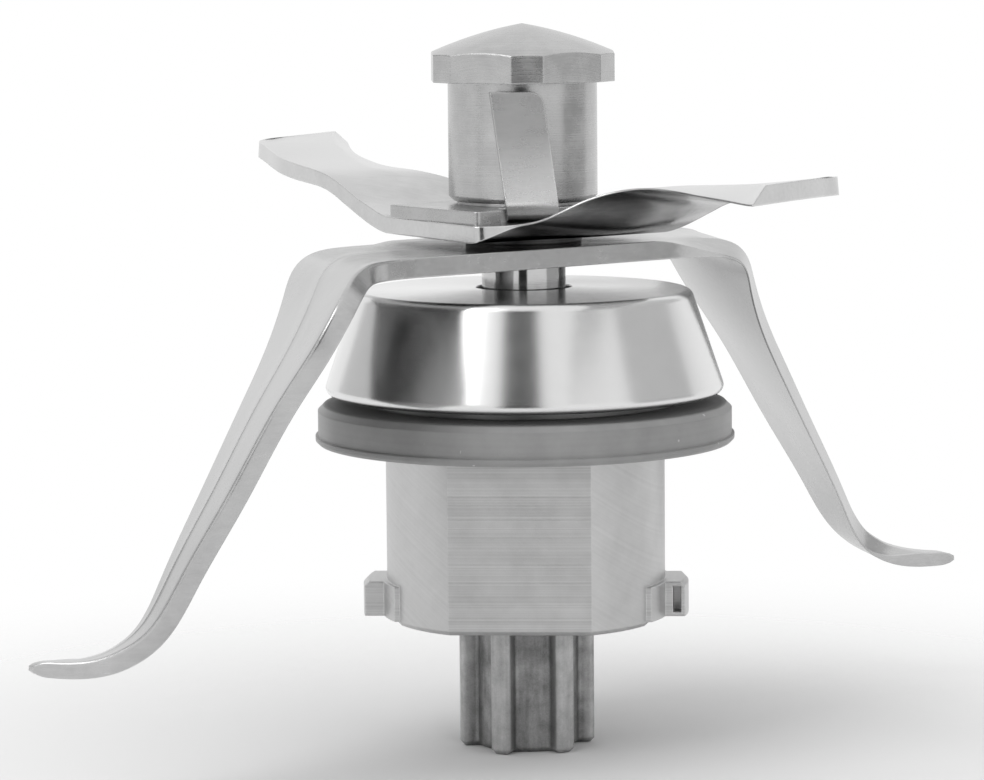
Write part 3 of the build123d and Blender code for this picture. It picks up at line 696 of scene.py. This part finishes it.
def lower_limits(width):
    """Where the bevel ends, where the facet's crease is and where the trailing edge's rounding starts."""
    crease = LOWER_FACET_WIDTH_SHARE * width
    bevel = min(LOWER_BEVEL, LOWER_BEVEL_FACET_SHARE * crease)
    return bevel, crease, width - min(LOWER_ROUND, LOWER_ROUND_WIDTH_SHARE * width)


def lower_columns(width):
    bevel, crease, flat_end = lower_limits(width)
    ridge = min(LOWER_RIDGE_WIDTH, LOWER_RIDGE_WIDTH_SHARE * width)
    bow = np.sin(np.linspace(0.0, math.pi / 2.0, ROUND_COLUMNS))
    return np.concatenate((
        np.linspace(0.0, bevel, BEVEL_COLUMNS),
        np.linspace(bevel, crease - 2.0 * ridge, FACET_COLUMNS)[1:],
        (crease - ridge, crease, crease + ridge),
        np.linspace(crease + 2.0 * ridge, flat_end, FLAT_COLUMNS),
        flat_end + (width - flat_end) * bow[1:],
    ))


def lower_profile(at, place, width, thick):
    """Bevelled edge, shallow facet with a burr and rounded trailing edge on the outside, flat inside."""
    bevel, crease, flat_end = lower_limits(width)
    ground = smooth(at / LOWER_GROUND_SHARE)
    full = ground * smooth((width - LOWER_PLAIN_WIDTH) / LOWER_FADE_WIDTH)
    top = thick - full * LOWER_FACET * falling(place, crease)
    top -= full * LOWER_BEVEL_DROP * falling(place, bevel)
    top += full * LOWER_RIDGE * math.exp(-(((place - crease) / LOWER_RIDGE_WIDTH) ** 2))
    over = max(0.0, place - flat_end) / (width - flat_end)
    top -= (width - flat_end) * ground * (1.0 - math.sqrt(max(0.0, 1.0 - over * over)))
    return 0.0, top


def blade_sections(lead_points, trail_points, sheet, tip_sheet, nose, columns, profile):
    """Lower and upper row of points across one arm, from the hub to the tip.

    The sheet thins to tip_sheet near the tip, which is rounded over the last share of the arm, its nose.
    """
    lead_line = spline(lead_points, ARM_STEPS)
    trail_line = spline(trail_points, ARM_STEPS)
    paths = np.gradient(lead_line, axis=0) + np.gradient(trail_line, axis=0)
    sections = []
    for i in range(ARM_STEPS + 1):
        at = i / ARM_STEPS
        thick = sheet + (tip_sheet - sheet) * max(0.0, at - 1.0 + TIP_SHARE) / TIP_SHARE
        past = max(0.0, (at - 1.0 + nose) / nose) if nose else 0.0
        slim = math.sqrt(1.0 - NOSE_SLIMMING * past * past)
        width = np.linalg.norm(trail_line[i] - lead_line[i])
        across = (trail_line[i] - lead_line[i]) / width
        normal = np.cross(paths[i], across) if i else np.array((0.0, 0.0, 1.0))
        normal = normal / np.linalg.norm(normal)
        lower = []
        upper = []
        for place in columns(width):
            low, top = profile(at, place, width, thick)
            middle = (low + top) / 2.0
            half = (top - low) / 2.0 * slim
            lower.append(lead_line[i] + across * place + normal * (middle - half))
            upper.append(lead_line[i] + across * place + normal * (middle + half))
        sections.append((np.array(lower), np.array(upper)))
    return sections


def blade_mesh(name, near, turn, level):
    """Both arms and the hub as one closed mesh, from the sections of one arm."""
    half_turn = np.array((-1.0, -1.0, 1.0))
    far = [(lower[::-1] * half_turn, upper[::-1] * half_turn) for lower, upper in near]
    rows = near[::-1]
    for step in range(1, HUB_STEPS):
        share = step / HUB_STEPS
        rows.append(tuple(a * (1.0 - share) + b * share for a, b in zip(near[0], far[0])))
    rows += far
    mesh = bmesh.new()
    place = Matrix.Rotation(math.radians(turn), 4, "Z") @ Matrix.Translation((0.0, 0.0, level))
    loops = []
    for lower, upper in rows:
        loops.append([mesh.verts.new(place @ Vector(point) * MM) for point in (*lower, *upper[::-1])])
    size = len(loops[0])
    for one, two in zip(loops, loops[1:]):
        for k in range(size):
            mesh.faces.new((one[k], one[(k + 1) % size], two[(k + 1) % size], two[k]))
    for end in (loops[0], loops[-1]):
        for k in range(size // 2 - 1):
            mesh.faces.new((end[k], end[k + 1], end[size - 2 - k], end[size - 1 - k]))
    bmesh.ops.recalc_face_normals(mesh, faces=mesh.faces)
    data = bpy.data.meshes.new(name)
    mesh.to_mesh(data)
    mesh.free()
    return data


def bore(piece, level):
    """Hole for the shaft's stud through the hub."""
    bpy.ops.mesh.primitive_cylinder_add(
        vertices=DRILL_SIDES,
        radius=STUD_RADIUS * MM,
        depth=DRILL_LENGTH * MM,
        location=(0.0, 0.0, level * MM),
    )
    drill = bpy.context.object
    cut = piece.modifiers.new("bore", "BOOLEAN")
    cut.object = drill
    cut.operation = "DIFFERENCE"
    cut.solver = "EXACT"
    bpy.context.view_layer.objects.active = piece
    bpy.ops.object.modifier_apply(modifier=cut.name)
    bpy.data.objects.remove(drill)


def ground_blade(node, near, turn, level, material):
    """Two-armed blade with its grinds, in place of the plainer CAD sheet."""
    data = blade_mesh("ground_" + node, near, turn, level)
    piece = bpy.data.objects.new("ground_" + node, data)
    scene.collection.objects.link(piece)
    bore(piece, level)
    data.shade_smooth()
    data.set_sharp_from_angle(angle=math.radians(SHARP_ANGLE))
    data.materials.clear()
    data.materials.append(material)
    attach(piece, "rotor")
    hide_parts(node)


def blades():
    upper = blade_sections(
        UPPER_LEAD, UPPER_TRAIL, UPPER_SHEET, UPPER_SHEET, 0.0, upper_columns, upper_profile
    )
    ground_blade("upper_blade", upper, UPPER_TURN, UPPER_LEVEL, BLADE_UPPER)
    lower = blade_sections(
        LOWER_LEAD, LOWER_TRAIL, LOWER_SHEET, LOWER_TIP_SHEET, LOWER_NOSE_SHARE, lower_columns, lower_profile
    )
    ground_blade("lower_blade", lower, LOWER_TURN, LOWER_LEVEL, BLADE_LOWER)


def studio_world():
    """White all round, for the camera and for what metal shows. Other light comes at a plain level."""
    world = bpy.data.worlds.new("studio")
    scene.world = world
    world.use_nodes = True
    graph = Graph(world.node_tree)
    output = graph.add("ShaderNodeOutputWorld")
    background = graph.add("ShaderNodeBackground")
    graph.link(background.outputs["Background"], output.inputs["Surface"])
    ray = graph.add("ShaderNodeLightPath")
    seen = graph.math("MAXIMUM", ray.outputs["Is Camera Ray"], ray.outputs["Is Glossy Ray"])
    seen = graph.math("MAXIMUM", seen, ray.outputs["Is Transmission Ray"])
    background.inputs["Color"].default_value = (1.0, 1.0, 1.0, 1.0)
    graph.link(graph.mix(seen, FILL, 1.0), background.inputs["Strength"])


def matte(graph, tone):
    diffuse = graph.add("ShaderNodeBsdfDiffuse")
    diffuse.inputs["Color"].default_value = (tone, tone, tone, 1.0)
    return diffuse.outputs["BSDF"]


def direction(azimuth, elevation):
    """Direction from the object, with the azimuth counted from the front, -Y. Angles in radians."""
    level = math.cos(elevation)
    return Vector((level * math.sin(azimuth), -level * math.cos(azimuth), math.sin(elevation)))


def card(name, azimuths, elevations, tone):
    """Curved card that stands round the object and is hidden from the camera."""
    mesh = bmesh.new()
    columns = []
    for azimuth in np.radians(np.linspace(*azimuths, CARD_STEPS + 1)):
        ways = [direction(azimuth, elevation) for elevation in np.radians(elevations)]
        columns.append([mesh.verts.new(CARD_CENTRE + way * CARD_DISTANCE) for way in ways])
    for one, two in zip(columns, columns[1:]):
        mesh.faces.new((one[0], two[0], two[1], one[1]))
    data = bpy.data.meshes.new(name)
    mesh.to_mesh(data)
    mesh.free()
    material, graph, output = new_material(name)
    graph.link(matte(graph, tone), output.inputs["Surface"])
    data.materials.append(material)
    panel = bpy.data.objects.new(name, data)
    scene.collection.objects.link(panel)
    panel.visible_camera = False


def floor():
    """Pale round floor that fades out into the white surround."""
    level = cad_box[0][2] - FLOOR_DROP
    bpy.ops.mesh.primitive_circle_add(
        vertices=FLOOR_SIDES, radius=FLOOR_RADIUS, fill_type="NGON", location=(0.0, 0.0, level)
    )
    disc = bpy.context.object
    disc.name = "floor"
    material, graph, output = new_material("floor_white")
    clear = graph.add("ShaderNodeBsdfTransparent")
    coords = graph.add("ShaderNodeTexCoord")
    length = graph.add("ShaderNodeVectorMath", operation="LENGTH")
    graph.link(coords.outputs["Object"], length.inputs[0])
    fade = graph.add("ShaderNodeMapRange", interpolation_type="SMOOTHSTEP")
    graph.link(length.outputs["Value"], fade.inputs["Value"])
    fade.inputs["From Min"].default_value = FLOOR_FADE[0] * FLOOR_RADIUS
    fade.inputs["From Max"].default_value = FLOOR_FADE[1] * FLOOR_RADIUS
    shown = graph.add("ShaderNodeMixShader")
    graph.link(fade.outputs["Result"], shown.inputs[0])
    graph.link(matte(graph, FLOOR_TONE), shown.inputs[1])
    graph.link(clear.outputs["BSDF"], shown.inputs[2])
    graph.link(shown.outputs["Shader"], output.inputs["Surface"])
    disc.data.materials.append(material)


def key_lamp():
    data = bpy.data.lights.new("key_soft", "AREA")
    data.shape = "RECTANGLE"
    data.size = KEY_SIZE
    data.size_y = KEY_SIZE
    data.energy = KEY_POWER
    item = bpy.data.objects.new("key_soft", data)
    scene.collection.objects.link(item)
    item.location = KEY_PLACE
    item.rotation_euler = (KEY_AIM - KEY_PLACE).to_track_quat("-Z", "Y").to_euler()


def camera():
    away = direction(math.radians(CAMERA_AZIMUTH), math.radians(CAMERA_PITCH))
    data = bpy.data.cameras.new("photo_camera")
    data.sensor_fit = "HORIZONTAL"
    data.sensor_width = SENSOR_WIDTH
    data.lens = FOCAL_PX / FRAME_WIDTH_PX * SENSOR_WIDTH
    data.shift_x = -AXIS_OFFSET_PX / FRAME_WIDTH_PX
    data.clip_start = CLIP_START
    item = bpy.data.objects.new("photo_camera", data)
    scene.collection.objects.link(item)
    look = (-away).to_track_quat("-Z", "Y").to_matrix()
    roll = Matrix.Rotation(math.radians(CAMERA_ROLL), 3, "Z")
    item.matrix_world = Matrix.Translation(CAMERA_TARGET + away * CAMERA_DISTANCE) @ (look @ roll).to_4x4()
    scene.camera = item


dress()
blades()
studio_world()
for name, settings in CARDS.items():
    card(name, *settings)
floor()
key_lamp()
camera()
scene.view_settings.view_transform = "Standard"
